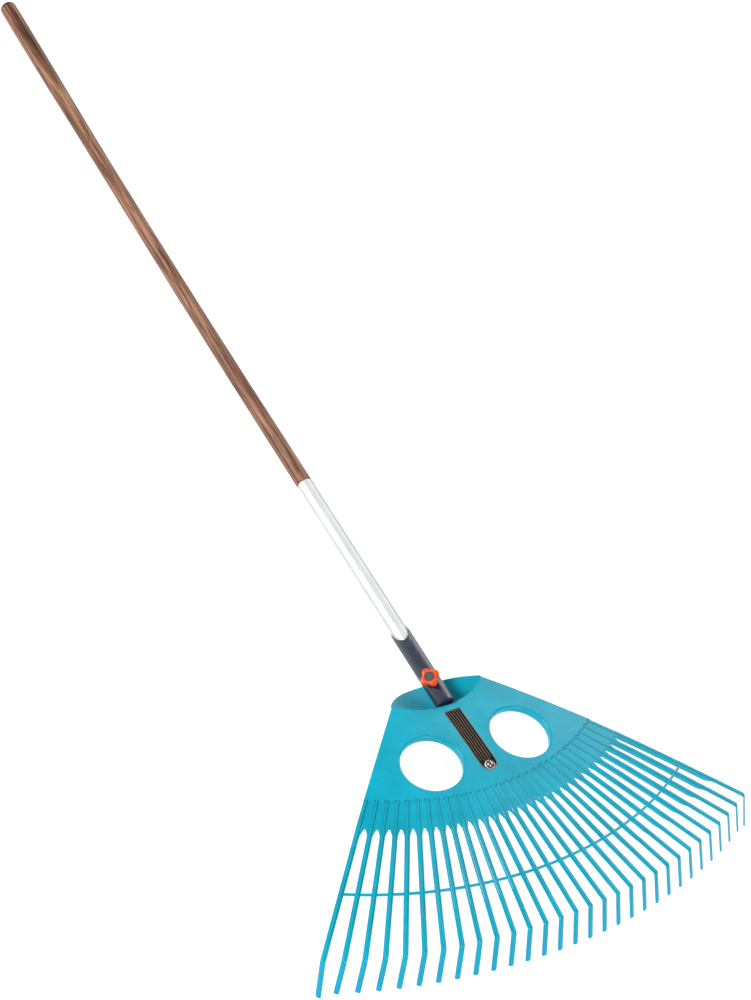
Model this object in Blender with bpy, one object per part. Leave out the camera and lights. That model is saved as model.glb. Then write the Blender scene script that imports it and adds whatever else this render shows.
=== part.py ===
"""Wide leaf rake with a clamped wood-and-aluminium handle.

The rake lies at rest on a level floor. It stands on its two outermost tine
tips and on the end of its handle. +Y runs along the handle, away from the
tines, X runs across the head and +Z is up.

Every piece is drawn in the head's own frame, where the handle's tongue is
level, and is then tipped down on to the floor as the last step.
"""
import math

import bmesh
import bpy
from mathutils import Matrix, Vector

# ---- head panel and fan of tines (metres, radians) ----
TINE_COUNT = 30
TINE_PITCH = 0.051880
EDGE_ANGLE = 0.7645
SURFACE_SQUARE = 0.08809
SURFACE_CUBE = 0.02698
SURFACE_CROSS = 0.00817
PANEL_THICK = 0.003
STEP_RADIUS = (0.2651, 0.0392)
ROOT_RADIUS = (0.3072, 0.0437)
BAR_RADIUS = (0.4049, 0.0572)
BEND_RADIUS = (0.4847, 0.1016)
HOLE_CENTRE = (0.0781, -0.1966)
HOLE_RADIUS = 0.0463
HOLE_WALL = 0.003
HOLE_DEPTH = 0.0117
CREASE_HALF = 0.0795
SCOOP_DROP = 0.0195
REAR_DROP = 0.0300

# ---- tines ----
TINE_WIDTH = 0.0080
TINE_DEPTH = 0.0030
TINE_DEPTH_GAIN = 0.0085
TINE_LIFT = 0.0006
BLADE_THICK = 0.0025
BLADE_WIDTH = 0.0080
BLADE_LENGTH = 0.0546
BLADE_BEND = math.radians(60.6)
BLADE_SPLAY = 1.119
OUTER_LENGTH = 0.0600
OUTER_AZIMUTH = math.radians(26.0)
BEND_FILLET = 0.006
BAR_TOP = 0.0011
BAR_DEPTH = 0.0019
BAR_WIDTH = 0.0034

# ---- handle ----
HANDLE_SLOPE = math.radians(10.148)
AXIS_HEIGHT = 0.01164
TUBE_RADIUS = 0.0128
TUBE_WALL = 0.0012
TUBE_START = -0.1000
TUBE_END = 0.3280
SPIGOT_LENGTH = 0.040
WOOD_END = 1.4495
CAP_LENGTH = 0.0095
BOW_HEIGHT = 0.0214
BOW_START = 0.550
BOW_SPAN = 0.856

# ---- adapter, knob and screws ----
SLEEVE_RADIUS = 0.0146
SLEEVE_START = -0.1118
SLEEVE_END = 0.0292
BORE_RADIUS = 0.01305
BORE_START = -0.1040
MOUTH_SCOOP = (0.0138, 0.0236)
KNOB_AT = -0.0720
KNOB_ROLL = math.radians(28.0)
BOSS_RADIUS = 0.0095
BOSS_TOP = 0.0185
KNOB_RADIUS = 0.0135
KNOB_LOBE = 0.0020
KNOB_THICK = 0.008
KNOB_PHASE = math.radians(4.0)
STUD_RADIUS = 0.0025
PAD_RADIUS = 0.0045
PAD_THICK = 0.0016
TONGUE_HALF = 0.0135
TONGUE_END = -0.2265
SCREW_AT = -0.2317
FIT_GAP = 0.0003

# ---- how the rake lies ----
FLOOR_ANGLE = math.radians(12.633)
FLOOR_LEVEL = -0.04502
SHIFT_Y = -0.47074


def clear_scene():
    """Start from an empty scene."""
    for item in list(bpy.data.objects):
        bpy.data.objects.remove(item, do_unlink=True)


def material(name, colour, roughness, metallic=0.0):
    """A plain Principled material, made once for each name."""
    found = bpy.data.materials.get(name)
    if found:
        return found
    made = bpy.data.materials.new(name)
    made.use_nodes = True
    shader = made.node_tree.nodes["Principled BSDF"]
    shader.inputs["Base Color"].default_value = (*colour, 1.0)
    shader.inputs["Roughness"].default_value = roughness
    shader.inputs["Metallic"].default_value = metallic
    made.diffuse_color = (*colour, 1.0)
    return made


def teal_plastic():
    return material("teal_plastic", (0.0, 0.38, 0.55), 0.38)


def dark_plastic():
    return material("dark_plastic", (0.035, 0.042, 0.055), 0.42)


def orange_plastic():
    return material("orange_plastic", (1.0, 0.085, 0.005), 0.35)


def aluminium():
    return material("aluminium", (0.86, 0.88, 0.89), 0.30, 1.0)


def steel():
    return material("steel", (0.55, 0.56, 0.58), 0.32, 1.0)


def wood():
    return material("wood", (0.33, 0.17, 0.085), 0.62)


def add_object(name, mesh_tool, surface):
    """Turn a bmesh into a named object."""
    bmesh.ops.recalc_face_normals(mesh_tool, faces=mesh_tool.faces)
    mesh = bpy.data.meshes.new(name)
    mesh_tool.to_mesh(mesh)
    mesh_tool.free()
    made = bpy.data.objects.new(name, mesh)
    bpy.context.scene.collection.objects.link(made)
    if surface:
        mesh.materials.append(surface)
    return made


def loft_into(tool, rings):
    """Draw one closed face and extrude it through the rings in turn."""
    corners = [tool.verts.new(point) for point in rings[0]]
    face = tool.faces.new(corners)
    for number, ring in enumerate(rings[1:]):
        grown = bmesh.ops.extrude_face_region(tool, geom=[face])["geom"]
        if number > 0:
            bmesh.ops.delete(tool, geom=[face], context="FACES_ONLY")
        face = [item for item in grown if isinstance(item, bmesh.types.BMFace)][0]
        for corner, point in zip(face.verts, ring):
            corner.co = point


def loft(name, rings, surface=None):
    """A closed solid through a row of rings."""
    tool = bmesh.new()
    loft_into(tool, rings)
    return add_object(name, tool, surface)


def boolean(body, cutter, operation):
    """Join or cut with another solid, and keep only the result."""
    step = body.modifiers.new("boolean", "BOOLEAN")
    step.operation = operation
    step.solver = "EXACT"
    step.object = cutter
    graph = bpy.context.evaluated_depsgraph_get()
    graph.update()
    result = bpy.data.meshes.new_from_object(body.evaluated_get(graph))
    body.modifiers.clear()
    body.data = result
    bpy.data.objects.remove(cutter, do_unlink=True)
    tidy = bmesh.new()
    tidy.from_mesh(result)
    bmesh.ops.remove_doubles(tidy, verts=tidy.verts, dist=0.00001)
    tidy.to_mesh(result)
    tidy.free()


def smooth(body, angle=35.0):
    """Round faces shade smooth, corners stay crisp."""
    body.data.shade_smooth()
    body.data.set_sharp_from_angle(angle=math.radians(angle))


def circle(centre, across, upward, radius, count):
    """Points round a circle, in the plane of two unit vectors."""
    points = []
    for index in range(count):
        turn = 2.0 * math.pi * index / count
        offset = across * math.cos(turn) + upward * math.sin(turn)
        points.append(centre + offset * radius)
    return points


# ---- the head's surface ----

def arc_radius(pair, angle):
    """A radius that grows a little towards the sides of the fan."""
    return pair[0] + pair[1] * angle * angle


def surface_height(x, y):
    """Height of the head's upper surface."""
    reach = math.hypot(x, y) / 0.5
    cross = SURFACE_CROSS * (x / 0.3) ** 2
    return -SURFACE_SQUARE * reach ** 2 + SURFACE_CUBE * reach ** 3 - cross


def surface_slope(radius, angle):
    """Slope of the surface along a tine."""
    reach = radius / 0.5
    slope = -2.0 * SURFACE_SQUARE * reach / 0.5
    slope += 3.0 * SURFACE_CUBE * reach ** 2 / 0.5
    slope -= 2.0 * SURFACE_CROSS * radius * (math.sin(angle) / 0.3) ** 2
    return slope


def crease_y(x):
    """The crease where the panel drops into the scoop behind it."""
    share = min(1.0, abs(x) / CREASE_HALF)
    return -0.1135 + 0.0290 * share ** 2.38


def rear_y(x):
    """The panel's rear edge."""
    share = min(1.0, abs(x) / CREASE_HALF)
    return -0.0480 - 0.0345 * share ** 2.46


def tine_angle(index):
    return (index - (TINE_COUNT - 1) / 2.0) * TINE_PITCH


def tine_depth(angle):
    """Tines are stiffened more towards the sides of the fan."""
    return TINE_DEPTH + TINE_DEPTH_GAIN * angle * angle


def panel_column(share):
    """One section of the panel, from its rear edge to the tine roots."""
    x_crease = CREASE_HALF * share
    angle = EDGE_ANGLE * share
    front = arc_radius(ROOT_RADIUS, angle)
    y_crease = crease_y(x_crease)
    start = Vector((x_crease, y_crease))
    end = Vector((front * math.sin(angle), -front * math.cos(angle)))
    fade = 1.0 - share * share
    step = arc_radius(STEP_RADIUS, angle)
    step_at = (step - start.length) / (end - start).length
    top = []
    low = []
    y_rear = rear_y(x_crease)
    z_rear = surface_height(x_crease, y_rear) - REAR_DROP * fade
    z_scoop = surface_height(x_crease, y_crease) - SCOOP_DROP * fade
    y_middle = 0.5 * (y_rear + y_crease)
    z_middle = 0.5 * (z_rear + z_scoop) - 0.0006 * fade
    top.append((x_crease, y_rear, z_rear))
    low.append((x_crease, y_rear, z_rear - PANEL_THICK))
    top.append((x_crease, y_middle, z_middle))
    low.append((x_crease, y_middle - 0.0008, z_middle - PANEL_THICK))
    top.append((x_crease, y_crease + 0.0012, z_scoop))
    low.append((x_crease, y_crease - 0.0020, z_scoop - PANEL_THICK))
    z_crease = surface_height(x_crease, y_crease)
    top.append((x_crease, y_crease, z_crease))
    low.append((x_crease, y_crease - 0.0032, z_crease - PANEL_THICK))
    rows = [0.06, 0.22, 0.40, 0.58, step_at - 0.005, step_at + 0.012, 1.0]
    for row in rows:
        spot = start.lerp(end, row)
        height = surface_height(spot.x, spot.y)
        if row > step_at:
            height -= 0.0010
        top.append((spot.x, spot.y, height))
        low.append((spot.x, spot.y, height - PANEL_THICK + 0.0005))
    return [Vector(point) for point in top + low[::-1]]


def rib_rings(index):
    """A tine's raised rib where it runs up over the panel."""
    angle = tine_angle(index)
    outward = Vector((math.sin(angle), -math.cos(angle), 0.0))
    across = Vector((math.cos(angle), math.sin(angle), 0.0))
    first = arc_radius(STEP_RADIUS, angle) - 0.004
    last = arc_radius(ROOT_RADIUS, angle) - 0.0004
    rings = []
    for share in (0.0, 0.35, 0.7, 1.0):
        radius = first + (last - first) * share
        spot = outward * radius
        top = surface_height(spot.x, spot.y) - 0.0001
        half = 0.0022
        ring = []
        for side, drop in ((-1.0, 0.0022), (-1.0, 0.0008), (-0.75, 0.0),
                           (0.75, 0.0), (1.0, 0.0008), (1.0, 0.0022)):
            skew = 2.0 * ROOT_RADIUS[1] * angle / last
            point = spot + (across + outward * skew) * (half * side)
            point.z = top - drop
            ring.append(point)
        rings.append(ring)
    return rings


def surface_normal(x, y):
    """Unit normal of the upper surface."""
    step = 0.0005
    rise_x = surface_height(x + step, y) - surface_height(x - step, y)
    rise_y = surface_height(x, y + step) - surface_height(x, y - step)
    return Vector((-rise_x / (2 * step), -rise_y / (2 * step), 1.0)).normalized()


def surface_frame(x, y):
    """Point, side, forward and normal vectors on the upper surface."""
    normal = surface_normal(x, y)
    point = Vector((x, y, surface_height(x, y)))
    across = Vector((1.0, 0.0, 0.0))
    across = (across - normal * across.dot(normal)).normalized()
    forward = normal.cross(across)
    return point, across, forward, normal


def lathe_rings(frame, profile, count):
    """Rings of a round solid: profile is (radius, height) pairs."""
    point, across, forward, normal = frame
    rings = []
    for radius, height in profile:
        centre = point + normal * height
        rings.append(circle(centre, across, forward, radius, count))
    return rings


def slot_rings(half, y_first, y_last, top, bottom, stations):
    """A straight-sided bar that follows the surface down the middle."""
    rings = []
    for index in range(stations):
        y = y_first + (y_last - y_first) * index / (stations - 1)
        base = surface_height(0.0, y)
        rings.append([
            Vector((-half, y, base + bottom)),
            Vector((half, y, base + bottom)),
            Vector((half, y, base + top)),
            Vector((-half, y, base + top)),
        ])
    return rings


def head_panel():
    """The fan-shaped panel with its hand holes, ribs and tongue pocket."""
    columns = 44
    rings = []
    for index in range(columns + 1):
        rings.append(panel_column(2.0 * index / columns - 1.0))
    panel = loft("head_panel", rings, teal_plastic())
    ribs = bmesh.new()
    for index in range(TINE_COUNT):
        loft_into(ribs, rib_rings(index))
    boolean(panel, add_object("ribs", ribs, None), "UNION")
    for side in (-1.0, 1.0):
        frame = surface_frame(side * HOLE_CENTRE[0], HOLE_CENTRE[1])
        outer = HOLE_RADIUS + HOLE_WALL
        collar = [(outer, -HOLE_DEPTH), (outer, -0.0016)]
        boolean(panel, loft("collar", lathe_rings(frame, collar, 48)), "UNION")
    block = slot_rings(0.0172, -0.1152, -0.2480, -0.0012, -0.0088, 8)
    boolean(panel, loft("block", block), "UNION")
    for side in (-1.0, 1.0):
        frame = surface_frame(side * HOLE_CENTRE[0], HOLE_CENTRE[1])
        bore = [(HOLE_RADIUS, -0.030), (HOLE_RADIUS, -0.0030),
                (HOLE_RADIUS + 0.0008, -0.0012), (HOLE_RADIUS + 0.0022, 0.0001),
                (HOLE_RADIUS + 0.0040, 0.0030), (HOLE_RADIUS + 0.0040, 0.0100)]
        cutter = loft("bore", lathe_rings(frame, bore, 48))
        boolean(panel, cutter, "DIFFERENCE")
    half = TONGUE_HALF + FIT_GAP
    pocket = slot_rings(half, -0.1250, -0.2265, 0.0100, -0.0062, 8)
    boolean(panel, loft("pocket", pocket), "DIFFERENCE")
    frame = surface_frame(0.0, TONGUE_END)
    rounded = [(half, -0.0062), (half, 0.0100)]
    boolean(panel, loft("end", lathe_rings(frame, rounded, 32)), "DIFFERENCE")
    tunnel = slot_rings(half, -0.1060, -0.1260, -0.0024, -0.0062, 4)
    boolean(panel, loft("tunnel", tunnel), "DIFFERENCE")
    frame = surface_frame(0.0, SCREW_AT)
    pilot = [(0.0024, -0.0300), (0.0024, 0.0)]
    boolean(panel, loft("pilot", lathe_rings(frame, pilot, 20)), "DIFFERENCE")
    smooth(panel, 30.0)
    return panel


# ---- tines and crossbar ----

def tine_path(index):
    """Stations down a tine: point, side, normal, half width, depth, skew."""
    angle = tine_angle(index)
    outward = Vector((math.sin(angle), -math.cos(angle), 0.0))
    across = Vector((math.cos(angle), math.sin(angle), 0.0))
    root = arc_radius(ROOT_RADIUS, angle) + FIT_GAP
    bend = arc_radius(BEND_RADIUS, angle)
    stations = []

    def at(radius, half, depth, skew=0.0):
        spot = outward * radius
        spot.z = surface_height(spot.x, spot.y)
        spot.z += TINE_LIFT * min(1.0, (radius - root) / 0.03)
        slope = surface_slope(radius, angle)
        lean = slope if radius > root + 0.001 else 0.0
        normal = (Vector((0.0, 0.0, 1.0)) - outward * lean).normalized()
        stations.append((spot, across, normal, half, depth, outward * skew))

    half = TINE_WIDTH / 2.0
    spread = root * TINE_PITCH / 2.0 - FIT_GAP / 2.0
    skew = 2.0 * ROOT_RADIUS[1] * angle / root
    depth = tine_depth(angle)
    at(root, spread, depth, skew)
    at(root + 0.004, half + 0.0018, depth, skew)
    at(root + 0.012, half + 0.0002, depth)
    middle = 0.5 * (root + 0.011 + bend - 0.062)
    at(middle, half, depth)
    at(bend - 0.064, half, depth)
    at(bend - 0.050, half, BLADE_THICK + 0.0003)
    outer = index in (0, TINE_COUNT - 1)
    length = OUTER_LENGTH if outer else BLADE_LENGTH
    azimuth = angle * BLADE_SPLAY
    if outer:
        azimuth = math.copysign(OUTER_AZIMUTH, angle)
    knee = outward * bend
    knee.z = surface_height(knee.x, knee.y) + TINE_LIFT
    pitch_in = math.atan(surface_slope(bend, angle))
    pitch_out = pitch_in - BLADE_BEND
    reach = BEND_FILLET * math.tan(BLADE_BEND / 2.0)
    way_in = outward * math.cos(pitch_in) + Vector((0, 0, math.sin(pitch_in)))
    flat = Vector((math.sin(azimuth), -math.cos(azimuth), 0.0))
    way_out = flat * math.cos(pitch_out) + Vector((0, 0, math.sin(pitch_out)))
    facing = angle * BLADE_SPLAY
    side = Vector((math.cos(facing), math.sin(facing), 0.0))
    side = (side - way_out * side.dot(way_out)).normalized()
    begin = knee - way_in * reach
    finish = knee + way_out * reach
    steps = 4
    for count in range(steps + 1):
        share = count / steps
        spot = begin.lerp(knee, share).lerp(knee.lerp(finish, share), share)
        way = way_in.lerp(way_out, share).normalized()
        sideways = across.lerp(side, share).normalized()
        normal = sideways.cross(way).normalized()
        if normal.dot(Vector((0, 0, 1.0)) + flat) < 0:
            normal.negate()
        width = half + (BLADE_WIDTH / 2.0 - half) * share
        stations.append((spot, sideways, normal, width, BLADE_THICK, Vector()))
    normal = stations[-1][2]
    for distance, width, thick in ((length - 0.004, 1.0, 1.0),
                                   (length - 0.0010, 0.97, 0.97),
                                   (length, 0.86, 0.85)):
        spot = knee + way_out * distance
        stations.append((spot, side, normal, BLADE_WIDTH / 2.0 * width,
                         BLADE_THICK * thick, Vector()))
    return stations, way_out, outer


def floor_height(y):
    """Height of the floor in the head's frame."""
    return FLOOR_LEVEL + math.tan(FLOOR_ANGLE) * y


def tine(index):
    """One tine, with its bent-down blade."""
    stations, way, outer = tine_path(index)
    rings = []
    for spot, side, normal, half, depth, skew in stations:
        ring = []
        crown = min(0.0009, depth * 0.25)
        for share, drop in ((-0.86, depth), (-1.0, crown), (-0.42, 0.0),
                            (0.42, 0.0), (1.0, crown), (0.86, depth)):
            out = half * share
            if outer and out * way.x > 0.0:
                out = math.copysign(min(abs(out), TINE_WIDTH / 2.0), out)
            ring.append(spot + (side + skew) * out - normal * drop)
        rings.append(ring)
    if outer:
        for ring in rings[-2:]:
            for count, point in enumerate(ring):
                level = floor_height(point.y) + (0.0 if ring is rings[-1] else 0.0030)
                run = (level - point.z) / (way.z - math.tan(FLOOR_ANGLE) * way.y)
                ring[count] = point + way * run
    return loft("tine_%02d" % (index + 1), rings, teal_plastic())


def bar_rings(grow):
    """The thin bar that ties the tines together."""
    last = tine_angle(TINE_COUNT - 1) + 0.0035
    if grow:
        last += 0.01
    rings = []
    count = 60
    for index in range(count + 1):
        angle = -last + 2.0 * last * index / count
        outward = Vector((math.sin(angle), -math.cos(angle), 0.0))
        middle = arc_radius(BAR_RADIUS, angle)
        ring = []
        depth = BAR_TOP + BAR_DEPTH + (0.009 if grow else 0.0)
        for side, drop in ((-0.5, depth), (0.5, depth),
                           (0.5, BAR_TOP - grow), (-0.5, BAR_TOP - grow)):
            width = BAR_WIDTH + 2.0 * grow
            spot = outward * (middle + width * side)
            spot.z = surface_height(spot.x, spot.y) - drop
            ring.append(spot)
        rings.append(ring)
    return rings


def tines_and_bar():
    """All tines, notched underneath for the crossbar."""
    made = []
    for index in range(TINE_COUNT):
        single = tine(index)
        cutter = loft("notch", bar_rings(FIT_GAP))
        boolean(single, cutter, "DIFFERENCE")
        smooth(single, 30.0)
        made.append(single)
    bar = loft("crossbar", bar_rings(0.0), teal_plastic())
    return made, bar


# ---- handle ----

ALONG = Vector((0.0, math.cos(HANDLE_SLOPE), math.sin(HANDLE_SLOPE)))
UPRIGHT = Vector((0.0, -math.sin(HANDLE_SLOPE), math.cos(HANDLE_SLOPE)))
SIDEWAYS = Vector((1.0, 0.0, 0.0))
AXIS_START = Vector((0.0, 0.0, AXIS_HEIGHT))
KNOB_WAY = UPRIGHT * math.cos(KNOB_ROLL) - SIDEWAYS * math.sin(KNOB_ROLL)
KNOB_SIDE = SIDEWAYS * math.cos(KNOB_ROLL) + UPRIGHT * math.sin(KNOB_ROLL)


def axis_point(distance):
    """Centre of the handle; its upper half bows gently upward."""
    spot = AXIS_START + ALONG * distance
    if spot.y > BOW_START:
        spot.z += BOW_HEIGHT * ((spot.y - BOW_START) / BOW_SPAN) ** 1.6
    return spot


def handle_ring(distance, radius, count=24):
    """A ring square to the handle."""
    centre = axis_point(distance)
    way = axis_point(distance + 0.002) - axis_point(distance - 0.002)
    upward = SIDEWAYS.cross(way.normalized())
    return circle(centre, SIDEWAYS, upward, radius, count)


def handle_solid(name, profile, surface, count=24):
    """A round solid along the handle: (distance, radius) pairs."""
    rings = [handle_ring(place, radius, count) for place, radius in profile]
    return loft(name, rings, surface)


def wood_radius(distance):
    """Waisted wooden handle, swelling towards its end."""
    waist = 0.0121
    if distance < 1.05:
        share = (distance - TUBE_END) / (1.05 - TUBE_END)
        return 0.01275 + (waist - 0.01275) * math.sin(share * math.pi / 2.0)
    share = min(1.0, (distance - 1.05) / 0.33)
    return waist + 0.0020 * (1.0 - math.cos(share * math.pi)) / 2.0


def wooden_handle():
    """Turned handle with a spigot that fits inside the tube."""
    inner = TUBE_RADIUS - TUBE_WALL - FIT_GAP
    start = TUBE_END + FIT_GAP
    profile = [(TUBE_END - SPIGOT_LENGTH, inner - 0.001),
               (TUBE_END - SPIGOT_LENGTH + 0.001, inner), (start, inner),
               (start, 0.0120), (start + 0.0008, 0.01275)]
    stations = 16
    for index in range(1, stations + 1):
        place = start + (WOOD_END - 0.006 - start) * index / stations
        profile.append((place, wood_radius(place)))
    profile.append((WOOD_END - 0.0004, wood_radius(WOOD_END)))
    profile.append((WOOD_END, wood_radius(WOOD_END) - 0.0004))
    body = handle_solid("wooden_handle", profile, wood())
    smooth(body)
    return body


def end_cap():
    """Domed cap on the end of the handle."""
    start = WOOD_END + FIT_GAP
    radius = wood_radius(WOOD_END) - 0.0002
    profile = [(start, radius)]
    for share in (0.26, 0.52, 0.72, 0.87, 0.96, 1.0):
        swell = math.sqrt(1.0 - (share * 0.985) ** 2)
        profile.append((start + CAP_LENGTH * share, radius * swell))
    body = handle_solid("handle_end_cap", profile, dark_plastic())
    smooth(body)
    return body


def aluminium_tube():
    """Straight tube between the wood and the adapter."""
    tube = handle_solid("aluminium_tube", [(TUBE_START, TUBE_RADIUS),
                                           (TUBE_END, TUBE_RADIUS)], aluminium(), 32)
    inner = TUBE_RADIUS - TUBE_WALL
    bore = handle_solid("bore", [(TUBE_START - 0.01, inner),
                                 (TUBE_END + 0.01, inner)], None, 32)
    boolean(tube, bore, "DIFFERENCE")
    smooth(tube)
    return tube


def tube_plug():
    """Plug that closes the tube's lower end."""
    inner = TUBE_RADIUS - TUBE_WALL - FIT_GAP
    profile = [(TUBE_START - 0.002, TUBE_RADIUS - 0.0015),
               (TUBE_START - 0.002 + 0.0012, TUBE_RADIUS),
               (TUBE_START - FIT_GAP, TUBE_RADIUS),
               (TUBE_START - FIT_GAP, inner), (TUBE_START + 0.018, inner),
               (TUBE_START + 0.020, inner - 0.0012)]
    body = handle_solid("tube_plug", profile, dark_plastic())
    smooth(body)
    return body


# ---- adapter ----

def knob_frame():
    """Point on the handle's axis under the knob, and its three vectors."""
    return AXIS_START + ALONG * KNOB_AT, KNOB_SIDE, ALONG, KNOB_WAY


def adapter():
    """Sleeve and ribbed tongue, moulded as one piece."""
    body = handle_solid("adapter", [(SLEEVE_START, SLEEVE_RADIUS - 0.0008),
                                    (SLEEVE_START + 0.0008, SLEEVE_RADIUS),
                                    (SLEEVE_END, SLEEVE_RADIUS)], dark_plastic(), 40)
    boss = [(BOSS_RADIUS, 0.0135), (BOSS_RADIUS, BOSS_TOP - 0.0006),
            (BOSS_RADIUS - 0.0006, BOSS_TOP)]
    boolean(body, loft("boss", lathe_rings(knob_frame(), boss, 32)), "UNION")
    half = TONGUE_HALF
    neck = slot_rings(half, -0.1060, -0.1260, -0.0027, -0.0059, 4)
    boolean(body, loft("neck", neck), "UNION")
    strip = slot_rings(half, -0.1255, TONGUE_END, -0.0016, -0.0059, 8)
    boolean(body, loft("strip", strip), "UNION")
    frame = surface_frame(0.0, TONGUE_END)
    rounded = [(half, -0.0059), (half, -0.0012)]
    boolean(body, loft("round_end", lathe_rings(frame, rounded, 32)), "UNION")
    ribs = bmesh.new()
    pitch = (2.0 * half - 0.0011) / 6.0
    for index in range(7):
        middle = -half + 0.00055 + pitch * index
        rings = slot_rings(0.00055, -0.1258, -0.2200, 0.0002, -0.0030, 7)
        for ring in rings:
            for point in ring:
                point.x += middle * 0.9999
        loft_into(ribs, rings)
    boolean(body, add_object("tongue_ribs", ribs, None), "UNION")
    bore = handle_solid("bore", [(BORE_START, BORE_RADIUS),
                                 (SLEEVE_END + 0.02, BORE_RADIUS)], None, 40)
    boolean(body, bore, "DIFFERENCE")
    centre = AXIS_START + ALONG * (SLEEVE_END + 0.0002)
    mouth = []
    for height in (-0.03, 0.03):
        ring = []
        for index in range(40):
            turn = 2.0 * math.pi * index / 40
            point = centre + KNOB_WAY * height
            point += KNOB_SIDE * (MOUTH_SCOOP[0] * math.cos(turn))
            point += ALONG * (MOUTH_SCOOP[1] * math.sin(turn))
            ring.append(point)
        mouth.append(ring)
    boolean(body, loft("mouth", mouth), "DIFFERENCE")
    pocket = [(PAD_RADIUS + 0.0004, 0.0100), (PAD_RADIUS + 0.0004, 0.0166)]
    boolean(body, loft("pocket", lathe_rings(knob_frame(), pocket, 32)), "DIFFERENCE")
    hole = [(STUD_RADIUS + FIT_GAP, 0.0120), (STUD_RADIUS + FIT_GAP, 0.0300)]
    boolean(body, loft("hole", lathe_rings(knob_frame(), hole, 24)), "DIFFERENCE")
    frame = surface_frame(0.0, SCREW_AT)
    pilot = [(0.0024, -0.0120), (0.0024, 0.0100)]
    boolean(body, loft("pilot", lathe_rings(frame, pilot, 20)), "DIFFERENCE")
    smooth(body, 30.0)
    return body


def clamp_knob():
    """Four-lobed hand knob with a round seat for its cap."""
    base = BOSS_TOP + FIT_GAP
    point, across, forward, normal = knob_frame()
    rings = []
    for height, inset in ((0.0, 0.0012), (0.0012, 0.0), (KNOB_THICK - 0.0014, 0.0),
                          (KNOB_THICK, 0.0014)):
        ring = []
        for index in range(64):
            turn = 2.0 * math.pi * index / 64
            wave = math.cos(4.0 * (turn - KNOB_PHASE))
            radius = KNOB_RADIUS + KNOB_LOBE * wave - inset
            offset = across * math.cos(turn) + forward * math.sin(turn)
            ring.append(point + normal * (base + height) + offset * radius)
        rings.append(ring)
    body = loft("clamp_knob", rings, orange_plastic())
    top = base + KNOB_THICK
    seat = [(0.0077, top - 0.0020), (0.0077, top + 0.005)]
    boolean(body, loft("seat", lathe_rings(knob_frame(), seat, 32)), "DIFFERENCE")
    hole = [(STUD_RADIUS + FIT_GAP, base - 0.002), (STUD_RADIUS + FIT_GAP, top - 0.0028)]
    boolean(body, loft("hole", lathe_rings(knob_frame(), hole, 24)), "DIFFERENCE")
    smooth(body, 30.0)
    return body


def knob_cap():
    """Dark disc set into the knob."""
    top = BOSS_TOP + FIT_GAP + KNOB_THICK
    profile = [(0.0074, top - 0.0017), (0.0074, top + 0.0003), (0.0066, top + 0.0009)]
    body = loft("knob_cap", lathe_rings(knob_frame(), profile, 32), dark_plastic())
    smooth(body)
    return body


def clamp_stud():
    """Steel stud fixed in the knob; its lower end bears on the pad."""
    bottom = TUBE_RADIUS + FIT_GAP + PAD_THICK + FIT_GAP
    top = BOSS_TOP + FIT_GAP + KNOB_THICK - 0.0031
    profile = [(STUD_RADIUS - 0.0005, bottom), (STUD_RADIUS, bottom + 0.0005),
               (STUD_RADIUS, top)]
    body = loft("clamp_stud", lathe_rings(knob_frame(), profile, 24), steel())
    smooth(body)
    return body


def pressure_pad():
    """Pad that the stud presses on to the tube."""
    bottom = TUBE_RADIUS + FIT_GAP
    profile = [(PAD_RADIUS, bottom), (PAD_RADIUS, bottom + PAD_THICK)]
    body = loft("pressure_pad", lathe_rings(knob_frame(), profile, 24), dark_plastic())
    smooth(body)
    return body


def tongue_screw():
    """Screw and washer that hold the tongue in the panel's pocket."""
    frame = surface_frame(0.0, SCREW_AT)
    washer = loft("screw_washer", lathe_rings(frame, [(0.0080, -0.0009), (0.0080, 0.0001)], 32),
                  steel())
    hole = loft("hole", lathe_rings(frame, [(0.0025, -0.004), (0.0025, 0.004)], 24))
    boolean(washer, hole, "DIFFERENCE")
    profile = [(0.0021, -0.0150), (0.0021, 0.0004), (0.0050, 0.0004),
               (0.0050, 0.0018), (0.0040, 0.0030), (0.0022, 0.0034)]
    screw = loft("tongue_screw", lathe_rings(frame, profile, 24), steel())
    smooth(washer)
    smooth(screw)
    point, across, forward, normal = frame
    rings = []
    for height in (-0.0120, -0.0091):
        rings.append(circle(point + normal * height, across, forward, 0.0046, 6))
    nut = loft("screw_nut", rings, steel())
    hole = loft("hole", lathe_rings(frame, [(0.0024, -0.016), (0.0024, -0.004)], 24))
    boolean(nut, hole, "DIFFERENCE")
    return washer, screw, nut


# ---- lay the rake on the floor ----

def lay_down():
    """Tip every piece so that the rake stands on its tips and handle end."""
    turn = Matrix.Rotation(-FLOOR_ANGLE, 4, "X")
    lift = Vector((0.0, 0.0, -FLOOR_LEVEL * math.cos(FLOOR_ANGLE)))
    slide = Vector((0.0, SHIFT_Y, 0.0))
    place = Matrix.Translation(lift + slide) @ turn
    for item in bpy.context.scene.objects:
        item.data.transform(place)
    return place


def set_origin(body, spot):
    """Put a moving piece's origin on its joint."""
    body.data.transform(Matrix.Translation(-spot))
    body.location = spot


def build():
    clear_scene()
    head_panel()
    tines_and_bar()
    handle = [wooden_handle(), end_cap(), aluminium_tube(), tube_plug()]
    adapter()
    knob = [clamp_knob(), knob_cap(), clamp_stud(), pressure_pad()]
    tongue_screw()
    place = lay_down()
    start = place @ (AXIS_START + ALONG * SLEEVE_END)
    for item in handle:
        set_origin(item, start)
    seat = place @ (AXIS_START + ALONG * KNOB_AT + KNOB_WAY * BOSS_TOP)
    for item in knob:
        set_origin(item, seat)


build()
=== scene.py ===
"""A wide leaf rake lying on the floor: moulded head, clamp adapter and long wooden handle."""
import math

import bmesh
import bpy
from mathutils import Matrix, Vector


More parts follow.
